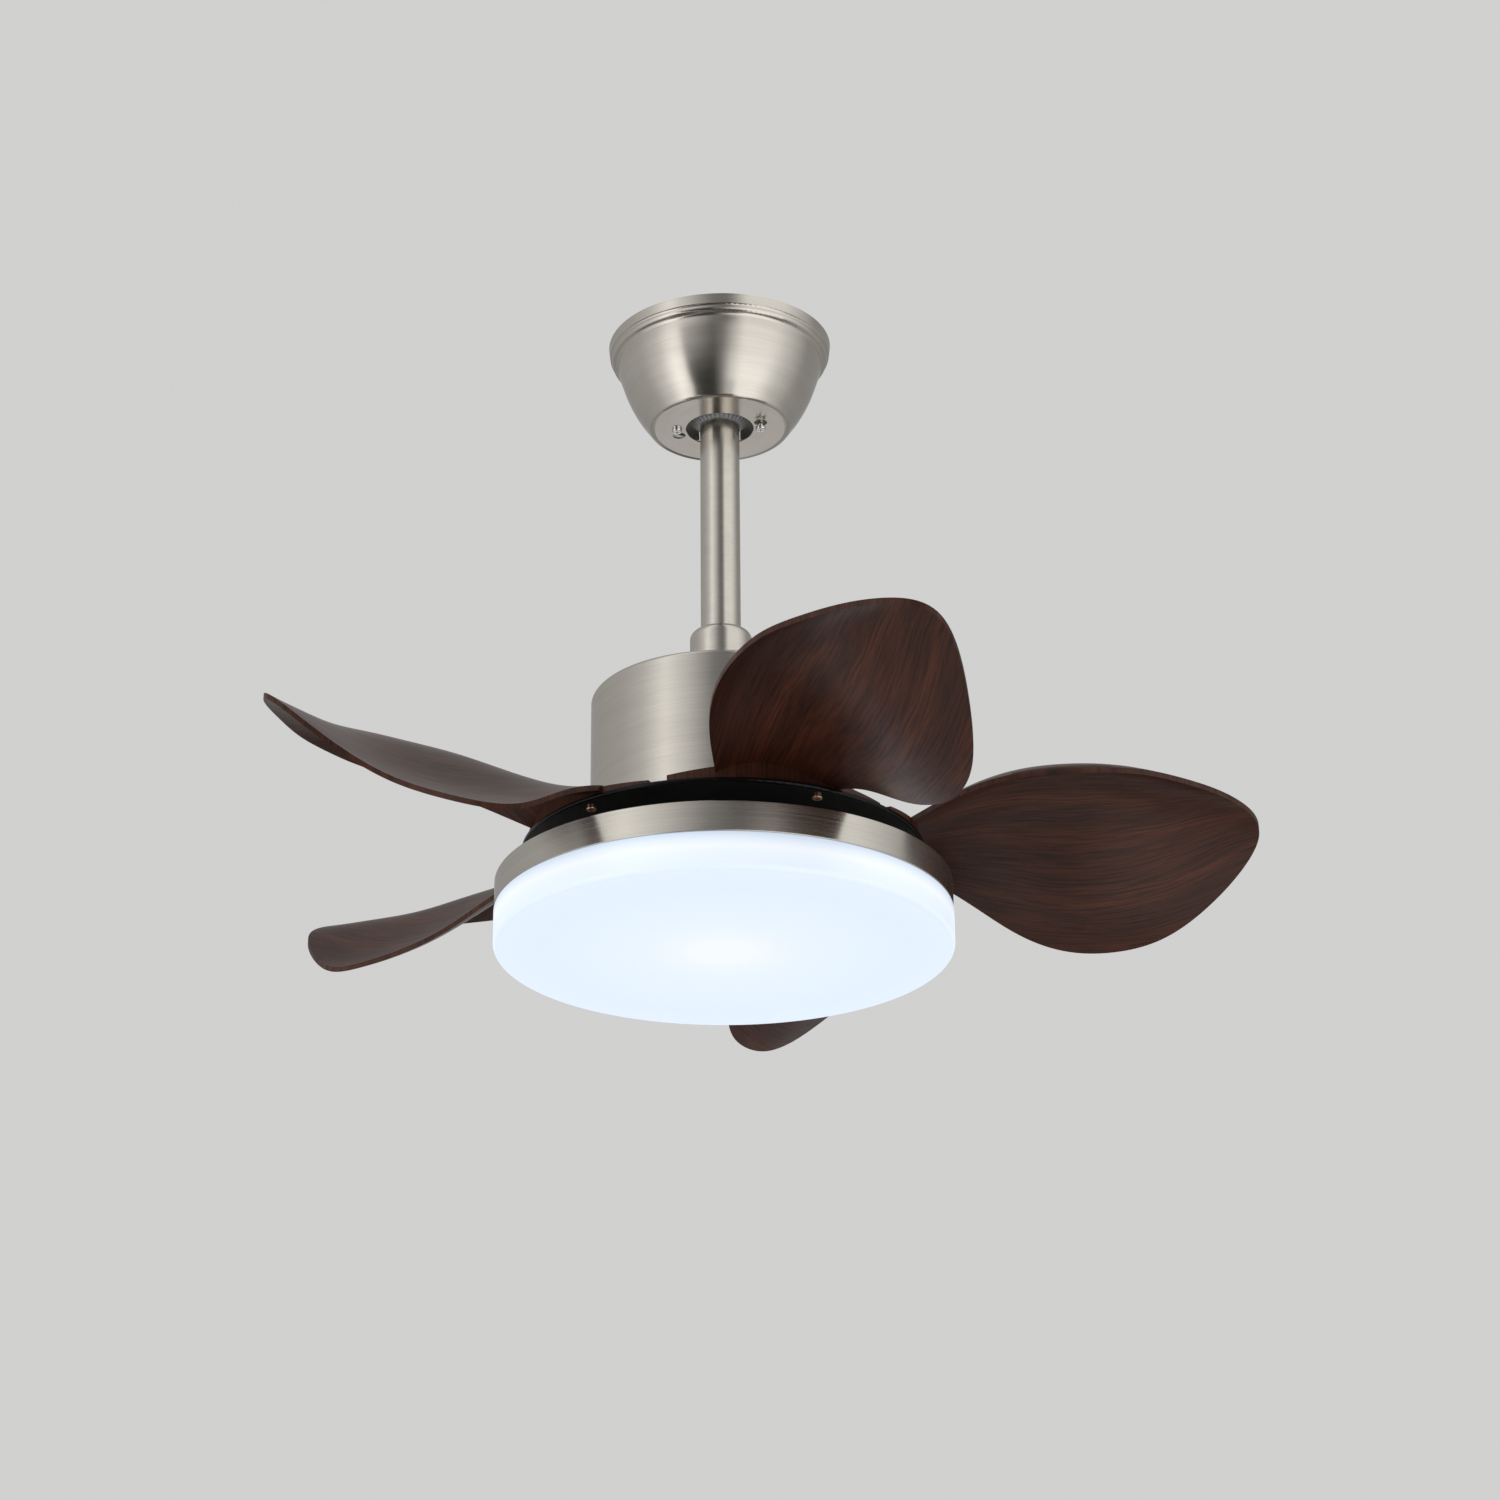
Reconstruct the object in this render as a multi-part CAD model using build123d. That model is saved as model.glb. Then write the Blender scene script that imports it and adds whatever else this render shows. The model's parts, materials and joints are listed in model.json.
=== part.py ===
from build123d import *
from math import cos, radians, sin
import os

# A five-blade ceiling fan with a light, hung from a ball on a short rod.
# Millimetres. The origin is the middle of the hanger bracket's top face, on
# the ceiling. +Z is up, and every level below the ceiling is negative.

# ---------------------------------------------------------------- driving sizes
ROD_R = 15.85
ROD_WALL = 2.0
ROD_TOP = -34.0
ROD_BOTTOM = -305.5

BALL_LEVEL = -46.0
BALL_R = 29.0
BALL_TOP = -36.0
BALL_BOTTOM = -66.0
BALL_PIN_R = 3.0
BALL_PIN_HALF = 26.5
BALL_GRUB_LEVEL = -41.0
LINER_INNER_R = 29.3
LINER_OUTER_R = 31.3
LINER_TOP = -52.0
LINER_BOTTOM = -60.6
SKIRT_RIBS = 32

BRACKET_X = 96.0
BRACKET_Y = 110.0
BRACKET_SHEET = 2.0
BRACKET_LEG_X = 47.0
BRACKET_LEG_WIDTH = 30.0
SEAT_BOTTOM = -59.0
SEAT_R = 50.0
SEAT_HOLE_R = 29.7
CEILING_HOLE_SPACING = 88.9
CEILING_SLOT_LENGTH = 14.0
CEILING_SLOT_WIDTH = 5.0
CABLE_HOLE_R = 14.0
EARTH_X = 34.0
EARTH_Y = -40.0

CANOPY_RIM_R = 90.3
CANOPY_TOP = -0.5
CANOPY_FACE = -74.3
CANOPY_CREST = -74.9
CANOPY_WALL = 1.2
CANOPY_SIDE = (
    (82.9, -16.6),
    (81.9, -22.0),
    (79.4, -30.0),
    (76.7, -38.0),
    (73.5, -46.0),
    (69.6, -54.0),
    (66.2, -60.0),
    (62.6, -65.5),
    (59.3, -70.0),
    (57.2, -73.0),
)
CANOPY_HOLE_R = 27.5
KEYHOLE_PITCH_R = 34.5
KEYHOLE_R = 5.25
KEYHOLE_ANGLES = (-17.0, 163.0)
KEYSLOT_TURN = 17.0
KEYSLOT_WIDTH = 4.6
TIGHT_SCREW_ANGLE = 180.0
LOOSE_SCREW_ANGLE = -17.0
LOOSE_SCREW_DROP = 4.5

COVER_TOP = -257.5
COVER_R = 24.5
COVER_FOOT_R = 31.0
YOKE_R = 18.4
YOKE_TOP = -275.0
YOKE_BORE_END = -306.0
YOKE_FLANGE_R = 25.0
YOKE_FLANGE_TOP = -314.0
CLEVIS_LEVEL = -284.0
YOKE_GRUB_LEVEL = -296.0

HOUSING_R = 102.1
HOUSING_TOP = -318.1
HOUSING_BOTTOM = -438.0
HOUSING_WALL = 1.2
HOUSING_EDGE_R = 3.5
HOUSING_SCREW_PITCH_R = 21.4
MOUNT_PLATE_R = 60.0

SHAFT_R = 8.0
SHAFT_BORE_R = 5.2
SHAFT_TOP = -308.0
SHAFT_BOTTOM = -484.0
BEARING_R = 16.0
BEARING_WIDTH = 9.0
BEARING_TOPS = {"upper": -357.0, "lower": -431.0}
BEARING_BALLS = 8

STATOR_TOP = -387.0
STATOR_BOTTOM = -413.0
STATOR_R = 80.9
STATOR_TEETH = 12
TOOTH_WIDTH = 10.0
MAGNET_OUTER_R = 86.95
MAGNET_INNER_R = 81.5
MAGNETS = 20
ROTOR_R = 90.0
ROTOR_WALL = 3.0
ROTOR_TOP = -352.0
ROTOR_SPLIT = -400.0
ROTOR_BOTTOM = -446.4

DISC_R = 155.0
DISC_TOP = -446.5
DISC_BOTTOM = -449.5
DISC_HOLE_R = 22.0
ROTOR_BOLT_PITCH_R = 78.0

BLADES = 5
FIRST_BLADE_ANGLE = -1.7
BLADE_LEVEL = -443.0
BLADE_THICKNESS = 4.4
FLANGE_OUTER_R = 150.6
FLANGE_INNER_R = 95.0
FLANGE_START = -31.8
FLANGE_END = 34.8
ROOT_INNER_R = 127.0
# The shoulder over the flange, as places across the blade and heights over it.
SHOULDER = ((-90.0, 0.9), (-46.0, 7.0), (-20.0, 8.0), (20.0, 7.0), (49.5, 3.6), (90.0, 0.0))
BLADE_SCREWS = ((143.0, 13.0), (104.0, -20.0), (104.0, 24.0))

# The leaf's edge seen from above, along the blade and across it, from the
# leading root corner round the tip to the trailing root corner.
LEAF_EDGE = (
    (142.0, -46.0),
    (184.0, -63.0),
    (237.0, -72.0),
    (301.0, -67.0),
    (373.5, -25.5),
    (409.0, 33.0),
    (372.0, 65.0),
    (321.0, 84.5),
    (267.5, 88.0),
    (203.0, 69.0),
    (141.0, 50.0),
)
# The leaf's form, as sections across it: distance along the blade, height of
# the front line and of the back line over the blade level, crown height, and
# skew (a larger one puts the crown nearer to the front).
LEAF_FRONT = -80.0
LEAF_BACK = 100.0
LEAF_SECTIONS = (
    (140.0, -23.5, 4.5, 23.0, 2.40),
    (180.0, 3.5, -26.5, 31.5, 2.20),
    (220.0, 18.0, -48.5, 37.5, 2.45),
    (260.0, 22.5, -57.0, 38.0, 2.75),
    (300.0, 18.5, -58.0, 40.5, 2.70),
    (340.0, 7.5, -54.5, 45.5, 2.10),
    (380.0, -16.5, -46.5, 59.0, 1.65),
    (420.0, -43.5, -53.5, 77.0, 1.15),
)
SECTION_STEPS = 12

RING_R = 175.2
RING_WALL = 1.2
RING_LIP = 0.7
RING_TOP = -473.0
RING_BOTTOM = -496.7
PAN_R = 173.6
PAN_HIGH = -474.3
PAN_LOW = -475.5
NECK_FLANGE_LOW = -474.2
LED_BOARD_LOW = -477.2
DIFFUSER_R = 175.5
DIFFUSER_WALL = 2.2
DIFFUSER_TOP = -497.6
DIFFUSER_BOTTOM = -525.9
DIFFUSER_EDGE_R = 4.0
SPIGOT_R = 172.6
SPIGOT_TOP = -482.0
CLIP_FOOT_TOP = -484.6
LUG_ANGLES = (30.0, 150.0, 270.0)

FIT = 0.03

UP = (Align.CENTER, Align.CENTER, Align.MIN)
PARTS = "parts"


# ---------------------------------------------------------------- shape helpers
def disc(radius, low, high):
    """Round bar on the axis, between two levels."""
    return Pos(0, 0, low) * Cylinder(radius, high - low, align=UP)


def tube(outer, inner, low, high):
    """Ring on the axis, between two levels."""
    return disc(outer, low, high) - disc(inner, low, high)


def turned(*edges):
    """Solid of revolution from edges drawn as (radius, level)."""
    return revolve(Plane.XZ * make_face([*edges]), Axis.Z)


def turned_outline(points):
    """Solid of revolution from a closed outline of (radius, level) corners."""
    return turned(Polyline(*points, close=True))


def sector(inner, outer, start, end, low, high):
    """Part of a ring between two angles and two levels."""
    outside = CenterArc((0, 0), outer, start, end - start)
    inside = CenterArc((0, 0), inner, start, end - start)
    first = Line(inside @ 0, outside @ 0)
    last = Line(inside @ 1, outside @ 1)
    return Pos(0, 0, low) * extrude(make_face([outside, inside, first, last]), high - low)


def at(radius, angle, level=0.0):
    """Place on a pitch circle."""
    return Pos(radius * cos(radians(angle)), radius * sin(radians(angle)), level)


def around(shape, count, start=0.0):
    """Copies of a shape at equal turns about the axis."""
    return [Rot(0, 0, start + 360 * i / count) * shape for i in range(count)]


def group(solids):
    """Several separate solids kept in one node."""
    return Compound(children=[s.solid() if hasattr(s, "solid") else s for s in solids])


def bar_along_x(radius, start, end, level):
    """Round bar along X, between two places."""
    bar = Rot(0, 90, 0) * Cylinder(radius, end - start, align=UP)
    return Pos(start, 0, level) * bar


def bar_along_y(radius, start, end, level):
    """Round bar along Y, between two places."""
    bar = Rot(-90, 0, 0) * Cylinder(radius, end - start, align=UP)
    return Pos(0, start, level) * bar


def cross_screw(shank_r, head_r, head_height, length):
    """Pan-head screw with its head below level 0 and its shank above it."""
    head = Pos(0, 0, -head_height) * Cylinder(head_r, head_height, align=UP)
    head = fillet(head.edges().group_by(Axis.Z)[0], head_height * 0.45)
    arm = Box(head_r * 1.1, head_r * 0.2, head_height * 0.45, align=UP)
    recess = Pos(0, 0, -head_height) * (arm + Rot(0, 0, 90) * arm)
    return head - recess + Cylinder(shank_r, length, align=UP)


# ---------------------------------------------------------------- ceiling side
def hanger_bracket():
    """Folded steel bracket: ceiling plate, two legs and the ball's seat."""
    plate = Pos(0, 0, -BRACKET_SHEET) * Box(BRACKET_X, BRACKET_Y, BRACKET_SHEET, align=UP)
    plate = fillet(plate.edges().filter_by(Axis.Z), 8)
    plate -= disc(CABLE_HOLE_R, -BRACKET_SHEET, 0)
    slot = extrude(SlotOverall(CEILING_SLOT_LENGTH, CEILING_SLOT_WIDTH, rotation=90), -BRACKET_SHEET)
    for side in (-1, 1):
        plate -= Pos(0, side * CEILING_HOLE_SPACING / 2, 0) * slot
    leg = Box(BRACKET_SHEET, BRACKET_LEG_WIDTH, -SEAT_BOTTOM - 1, align=UP)
    legs = [Pos(side * BRACKET_LEG_X, 0, SEAT_BOTTOM) * leg for side in (-1, 1)]
    seat = tube(SEAT_R, SEAT_HOLE_R, SEAT_BOTTOM, SEAT_BOTTOM + BRACKET_SHEET)
    rod_way = 2 * (ROD_R + 1)
    seat -= Pos(0, SEAT_R / 2, SEAT_BOTTOM) * Box(rod_way, SEAT_R + 1, BRACKET_SHEET, align=UP)
    bracket = plate + legs + seat
    for angle in (TIGHT_SCREW_ANGLE, LOOSE_SCREW_ANGLE):
        hole = Cylinder(2 + 2 * FIT, BRACKET_SHEET, align=UP)
        bracket -= at(KEYHOLE_PITCH_R, angle, SEAT_BOTTOM) * hole
    earth_hole = Cylinder(2 + FIT, BRACKET_SHEET, align=UP)
    return bracket - Pos(EARTH_X, EARTH_Y, -BRACKET_SHEET) * earth_hole


def earth_screw():
    """Earth screw under the ceiling plate."""
    return Pos(EARTH_X, EARTH_Y, -BRACKET_SHEET - FIT) * cross_screw(2.0, 4.2, 2.6, 1.8)


def receiver_box():
    """Remote receiver against one leg, under the ceiling plate."""
    box = Pos(-38.9, 0, -33.0) * Box(14, 66, 30.8, align=UP)
    return fillet(box.edges().filter_by(Axis.X), 3)


def terminal_block():
    """Three-way terminal block under the ceiling plate."""
    block = Pos(25, 33, -14.0) * Box(26, 12, 11.9, align=UP)
    for i in range(3):
        entry = bar_along_y(1.9, 26, 40, -9.0)
        screw_well = Pos(0, 33, -14.0) * Cylinder(1.6, 3.5, align=UP)
        block -= Pos(17 + 8 * i, 0, 0) * (entry + screw_well)
    return block


def canopy_screw_loose():
    """Canopy screw hanging in its round hole."""
    screw = cross_screw(2.0, 4.0, 2.5, 24.0)
    return at(KEYHOLE_PITCH_R, LOOSE_SCREW_ANGLE, CANOPY_FACE - LOOSE_SCREW_DROP) * screw


# ---------------------------------------------------------------- canopy
def canopy_bowl(inset):
    """Bowl of revolution: rim band, bead, curved side and crested face, drawn in by an inset."""

    def at_skin(radius, level):
        """Point of the skin, moved in by the inset."""
        return (radius - inset, level + inset)

    band = Line((CANOPY_RIM_R - inset, CANOPY_TOP), at_skin(89.2, -8.2))
    groove = ThreePointArc(band @ 1, at_skin(88.1, -8.9), at_skin(87.7, -10.0))
    bead = ThreePointArc(groove @ 1, at_skin(87.4, -12.2), at_skin(85.8, -13.6))
    cove = ThreePointArc(bead @ 1, at_skin(83.9, -14.6), at_skin(82.9, -16.6))
    side = Spline(*[at_skin(radius, level) for radius, level in CANOPY_SIDE])
    crest = ThreePointArc(side @ 1, at_skin(56.0, -74.2), at_skin(54.6, CANOPY_CREST))
    lip = Line(crest @ 1, at_skin(52.6, CANOPY_FACE))
    face = Line(lip @ 1, (0, CANOPY_FACE + inset))
    middle = Line(face @ 1, (0, CANOPY_TOP))
    mouth = Line(middle @ 1, band @ 0)
    return turned(band, groove, bead, cove, side, crest, lip, face, middle, mouth)


def canopy():
    """Spun bowl with the rod hole and the two keyholes."""
    low = CANOPY_FACE
    high = CANOPY_FACE + CANOPY_WALL
    bowl = canopy_bowl(0.0) - canopy_bowl(CANOPY_WALL) - disc(CANOPY_HOLE_R, low, high)
    half = KEYSLOT_WIDTH / 2
    for angle in KEYHOLE_ANGLES:
        end = angle + KEYSLOT_TURN
        bowl -= at(KEYHOLE_PITCH_R, angle, low) * Cylinder(KEYHOLE_R, CANOPY_WALL, align=UP)
        bowl -= sector(KEYHOLE_PITCH_R - half, KEYHOLE_PITCH_R + half, angle, end, low, high)
        bowl -= at(KEYHOLE_PITCH_R, end, low) * Cylinder(half, CANOPY_WALL, align=UP)
    return bowl


def canopy_screw_tight():
    """Canopy screw at the end of its slot, caught on the canopy."""
    screw = cross_screw(2.0, 4.0, 2.5, 18.6)
    return at(KEYHOLE_PITCH_R, TIGHT_SCREW_ANGLE, CANOPY_FACE - FIT) * screw


# ---------------------------------------------------------------- ball and rod
def ball_zone(outer, inner, low, high):
    """Slice of a ball or a ball-shaped shell about the ball's centre."""
    shape = Pos(0, 0, BALL_LEVEL) * Sphere(outer)
    if inner:
        shape -= Pos(0, 0, BALL_LEVEL) * Sphere(inner)
    return shape & disc(outer + 1, low, high)


def seat_liner():
    """Plastic liner that the ball turns on."""
    return ball_zone(LINER_OUTER_R, LINER_INNER_R, LINER_BOTTOM, LINER_TOP)


def hanger_ball():
    """Hanger ball with the rod's bore, the pin's hole and the grub's hole."""
    ball = ball_zone(BALL_R, 0, BALL_BOTTOM, BALL_TOP)
    ball -= disc(ROD_R + FIT, BALL_BOTTOM, BALL_TOP)
    ball -= bar_along_x(BALL_PIN_R + FIT, -BALL_R, BALL_R, BALL_LEVEL)
    return ball - bar_along_y(2.5 + FIT, 0, BALL_R, BALL_GRUB_LEVEL)


def ball_pin():
    """Cross pin through the ball and the rod."""
    return bar_along_x(BALL_PIN_R, -BALL_PIN_HALF, BALL_PIN_HALF, BALL_LEVEL)


def ball_grub_screw():
    """Grub screw that locks the ball to the rod."""
    grub = bar_along_y(2.5, ROD_R + FIT, 26.5, BALL_GRUB_LEVEL)
    socket = bar_along_y(1.25, 24.0, 26.5, BALL_GRUB_LEVEL)
    return grub - socket


def ball_skirt():
    """Ribbed rubber skirt under the ball."""
    top_r = 23.2
    nose_r = 17.4
    nose_level = -72.6
    skirt = turned_outline(
        (
            (ROD_R + 0.25, BALL_BOTTOM - FIT),
            (top_r, BALL_BOTTOM - FIT),
            (top_r, BALL_BOTTOM - 1.6),
            (nose_r, nose_level),
            (ROD_R + 0.25, nose_level),
        )
    )
    groove = Pos(20.6, 0, -69.9) * Rot(0, -41, 0) * Box(9.5, 1.2, 1.6)
    for cutter in around(groove, SKIRT_RIBS):
        skirt -= cutter
    return skirt


def downrod():
    """Steel tube from the ball to the yoke."""
    rod = tube(ROD_R, ROD_R - ROD_WALL, ROD_BOTTOM, ROD_TOP)
    rod -= bar_along_x(BALL_PIN_R + FIT, -ROD_R - 1, ROD_R + 1, BALL_LEVEL)
    return rod - bar_along_x(3 + FIT, -ROD_R - 1, ROD_R + 1, CLEVIS_LEVEL)


def motor_yoke():
    """Collar that takes the rod above and the motor shaft below."""
    yoke = disc(YOKE_R, HOUSING_TOP + FIT, YOKE_TOP)
    yoke += disc(YOKE_FLANGE_R, HOUSING_TOP + FIT, YOKE_FLANGE_TOP)
    yoke -= disc(ROD_R + FIT, YOKE_BORE_END, YOKE_TOP)
    yoke -= disc(SHAFT_R + FIT, HOUSING_TOP, YOKE_BORE_END)
    yoke -= bar_along_x(3 + FIT, -YOKE_R, YOKE_R, CLEVIS_LEVEL)
    yoke -= bar_along_y(3 + FIT, -YOKE_R, YOKE_R, YOKE_GRUB_LEVEL)
    for hole in housing_screw_bars(1.55, HOUSING_TOP, YOKE_FLANGE_TOP):
        yoke -= hole
    return yoke


def yoke_grub_screws():
    """Two grub screws that stop the rod turning in the yoke."""
    grub = bar_along_y(3.0, ROD_R + FIT, YOKE_R - 0.2, YOKE_GRUB_LEVEL)
    grub -= bar_along_y(1.5, YOKE_R - 2.0, YOKE_R, YOKE_GRUB_LEVEL)
    return group(around(grub, 2))


def clevis_pin():
    """Pin through the yoke and the rod."""
    pin = bar_along_x(3.0, -YOKE_R - 0.1, 22.6, CLEVIS_LEVEL)
    pin += bar_along_x(4.6, -YOKE_R - 2.0, -YOKE_R - 0.1, CLEVIS_LEVEL)
    return pin - Pos(20.8, 0, CLEVIS_LEVEL) * Cylinder(0.9, 10)


def cotter_pin():
    """Split pin through the end of the clevis pin."""
    return Pos(20.8, 0, CLEVIS_LEVEL) * Cylinder(0.85, 11)


def coupling_cover():
    """Domed cup over the yoke, with a flared foot."""
    wall = 1.2
    mouth_r = ROD_R + 0.3
    shoulder_r = 7.0
    dome_r = COVER_R - shoulder_r
    side_top = COVER_TOP - shoulder_r
    flare_top = -300.0
    foot = HOUSING_TOP + 0.2

    def skin(inset):
        """One skin of the cup, from its mouth down to its foot."""
        dome = CenterArc((dome_r, side_top), shoulder_r - inset, 0, 90)
        crown = Line((mouth_r, COVER_TOP - inset), dome @ 1)
        side = Line(dome @ 0, (COVER_R - inset, flare_top))
        flare = Spline(
            side @ 1,
            (COVER_R + 1.6 - inset, -309.0),
            (COVER_FOOT_R - inset, foot),
            tangents=((0, -1), (1, -1.4)),
        )
        return [crown, dome, side, flare]

    outer = skin(0.0)
    inner = skin(wall)
    mouth = Line(outer[0] @ 0, inner[0] @ 0)
    rim = Line(outer[3] @ 1, inner[3] @ 1)
    return turned(*outer, *inner, mouth, rim)


# ---------------------------------------------------------------- motor, fixed side
def housing_screw_bars(radius, low, high):
    """Bars on the pitch circle of the screws that hold the housing."""
    bar = at(HOUSING_SCREW_PITCH_R, 0, low) * Cylinder(radius, high - low, align=UP)
    return around(bar, 3, 90)


def motor_housing():
    """Spun nickel drum over the motor, open below."""
    outer = disc(HOUSING_R, HOUSING_BOTTOM, HOUSING_TOP)
    outer = fillet(outer.edges().group_by(Axis.Z)[-1], HOUSING_EDGE_R)
    inner = disc(HOUSING_R - HOUSING_WALL, HOUSING_BOTTOM, HOUSING_TOP - HOUSING_WALL)
    inner = fillet(inner.edges().group_by(Axis.Z)[-1], HOUSING_EDGE_R - HOUSING_WALL)
    shell = outer - inner - disc(SHAFT_R + 3, HOUSING_TOP - HOUSING_WALL, HOUSING_TOP)
    for hole in housing_screw_bars(1.55, HOUSING_TOP - HOUSING_WALL, HOUSING_TOP):
        shell -= hole
    return shell


def motor_mount_plate():
    """Steel plate that hangs the stator and clamps the housing."""
    high = HOUSING_TOP - HOUSING_WALL - FIT
    plate = tube(MOUNT_PLATE_R, SHAFT_R + FIT, high - 3, high)
    for hole in housing_screw_bars(1.5 + FIT, high - 3, high):
        plate -= hole
    for hole in around(at(50, 0, high - 3) * Cylinder(2 + FIT, 3, align=UP), 3, 30):
        plate -= hole
    return plate


def housing_screws():
    """Three screws through the yoke's flange and the housing."""
    screw = Rot(180, 0, 0) * cross_screw(1.5, 2.8, 2.0, 8.2)
    return group(around(at(HOUSING_SCREW_PITCH_R, 0, YOKE_FLANGE_TOP + FIT) * screw, 3, 90))


def hollow_shaft():
    """Fixed hollow shaft from the yoke to the light."""
    return tube(SHAFT_R, SHAFT_BORE_R, SHAFT_BOTTOM, SHAFT_TOP)


def control_board():
    """Motor control board on three posts under the mount plate."""
    plate_low = HOUSING_TOP - HOUSING_WALL - FIT - 3
    board = tube(86, 26, -337.6, -336.0)
    for post in around(at(50, 0, -336.0) * Cylinder(3, plate_low - FIT + 336.0, align=UP), 3, 30):
        board += post
    return board


def control_parts():
    """Capacitors, coils and chips under the control board."""
    low = -337.6 - FIT
    can = Pos(0, 0, -11) * Cylinder(5, 11, align=UP)
    chip = Pos(0, 0, -3) * Box(12, 8, 3, align=UP)
    block = Pos(0, 0, -9) * Box(16, 14, 9, align=UP)
    pieces = [at(68, angle, low) * can for angle in (0, 20, 40, 200)]
    pieces += [at(62, angle, low) * chip for angle in (90, 130, 250)]
    pieces += [at(64, angle, low) * block for angle in (165, 300)]
    return group(pieces)


def stator_core():
    """Laminated core: hub, teeth and pole shoes."""
    core = disc(34, STATOR_BOTTOM, STATOR_TOP)
    tooth = Pos(56, 0, STATOR_BOTTOM) * Box(46, TOOTH_WIDTH, STATOR_TOP - STATOR_BOTTOM, align=UP)
    shoe = sector(76, STATOR_R, -12, 12, STATOR_BOTTOM, STATOR_TOP)
    for piece in around(tooth + shoe, STATOR_TEETH):
        core += piece
    return core - disc(SHAFT_R + FIT, STATOR_BOTTOM, STATOR_TOP)


def stator_coils():
    """One winding round each tooth."""
    depth = STATOR_TOP - STATOR_BOTTOM
    middle = (STATOR_TOP + STATOR_BOTTOM) / 2
    coil = Box(30, 18, depth + 8) - Box(30, TOOTH_WIDTH + 0.4, depth + 0.4)
    coil = fillet(coil.edges().filter_by(Axis.X).sort_by(Axis.Z)[:2], 2)
    return group(around(Pos(57, 0, middle) * coil, STATOR_TEETH))


def lead_bundle():
    """Leads from the receiver's end of the rod to the light."""
    side = 8.5
    route = FilletPolyline(
        (0, side, ROD_TOP - 2),
        (0, side, -290.5),
        (0, 0, -305.5),
        (0, 0, SHAFT_BOTTOM + 3),
        radius=14,
    )
    return sweep(Plane(route @ 0, z_dir=route % 0) * Circle(3.2), path=route)


# ---------------------------------------------------------------- bearings
def bearing_ring(top, inner, outer):
    """One plain ring of a bearing."""
    ring = tube(outer, inner, top - BEARING_WIDTH, top)
    edges = ring.edges().filter_by(GeomType.CIRCLE)
    return chamfer(edges, 0.4)


def bearing_inner(top):
    """Inner ring on the shaft."""
    return bearing_ring(top, SHAFT_R + FIT, 10.2)


def bearing_outer(top):
    """Outer ring in the rotor cover."""
    return bearing_ring(top, 14.0, BEARING_R)


def bearing_balls(top):
    """Ring of balls between the two rings."""
    ball = Pos(12.1, 0, top - BEARING_WIDTH / 2) * Sphere(1.8)
    return group(around(ball, BEARING_BALLS))


# ---------------------------------------------------------------- rotor
def rotor_cover(low, high, floor_low, boss_low, boss_high):
    """Cast half of the rotor: wall, end plate and bearing boss."""
    cover = tube(ROTOR_R, ROTOR_R - ROTOR_WALL, low, high)
    cover += disc(ROTOR_R - ROTOR_WALL / 2, floor_low, floor_low + ROTOR_WALL)
    cover += disc(BEARING_R + 4, boss_low, boss_high)
    return cover


def rotor_upper_cover():
    """Upper half of the rotor."""
    top = BEARING_TOPS["upper"]
    cover = rotor_cover(ROTOR_SPLIT, ROTOR_TOP, ROTOR_TOP - ROTOR_WALL, top - BEARING_WIDTH, ROTOR_TOP)
    cover -= disc(BEARING_R + FIT, top - BEARING_WIDTH, top)
    return cover - disc(SHAFT_R + 1.5, top - BEARING_WIDTH, ROTOR_TOP)


def rotor_lower_cover():
    """Lower half of the rotor, bolted to the carrier disc."""
    top = BEARING_TOPS["lower"]
    cover = rotor_cover(ROTOR_BOTTOM, ROTOR_SPLIT - 0.1, ROTOR_BOTTOM, ROTOR_BOTTOM, top)
    cover -= disc(BEARING_R + FIT, top - BEARING_WIDTH, top)
    cover -= disc(SHAFT_R + 1.5, ROTOR_BOTTOM, top)
    for hole in rotor_bolt_holes(ROTOR_BOTTOM, ROTOR_BOTTOM + ROTOR_WALL, 2.5 + FIT):
        cover -= hole
    return cover


def rotor_bolt_holes(low, high, radius):
    """Bars on the rotor bolts' pitch circle."""
    bar = at(ROTOR_BOLT_PITCH_R, 0, low) * Cylinder(radius, high - low, align=UP)
    return around(bar, BLADES, FIRST_BLADE_ANGLE)


def rotor_bolts():
    """Five bolts from the carrier disc into the rotor."""
    bolt = at(ROTOR_BOLT_PITCH_R, 0, DISC_BOTTOM - FIT) * cross_screw(2.5, 4.6, 3.0, 6.0)
    return group(around(bolt, BLADES, FIRST_BLADE_ANGLE))


def magnet_ring():
    """Arc magnets glued inside the rotor."""
    half = 180 / MAGNETS - 0.6
    magnet = sector(MAGNET_INNER_R, MAGNET_OUTER_R, -half, half, STATOR_BOTTOM - 1, STATOR_TOP - 1)
    return group(around(magnet, MAGNETS))


def carrier_disc():
    """Black plate under the rotor that carries the blades."""
    plate = disc(DISC_R, DISC_BOTTOM, DISC_TOP)
    plate = fillet(plate.edges().group_by(Axis.Z)[0], 1.8)
    plate -= disc(DISC_HOLE_R, DISC_BOTTOM, DISC_TOP)
    for hole in rotor_bolt_holes(DISC_BOTTOM, DISC_TOP, 2.5 + FIT):
        plate -= hole
    for radius, angle in BLADE_SCREWS:
        hole = at(radius, angle, DISC_BOTTOM) * Cylinder(2 + FIT, DISC_TOP - DISC_BOTTOM, align=UP)
        for cutter in around(hole, BLADES, FIRST_BLADE_ANGLE):
            plate -= cutter
    return plate


# ---------------------------------------------------------------- blades
def leaf_height(front, back, crown, skew, across):
    """Height of the leaf's middle skin: a straight chord and a skewed crown."""
    peak = skew**skew / (1 + skew) ** (1 + skew)
    return front + (back - front) * across + crown * across * (1 - across) ** skew / peak


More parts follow.
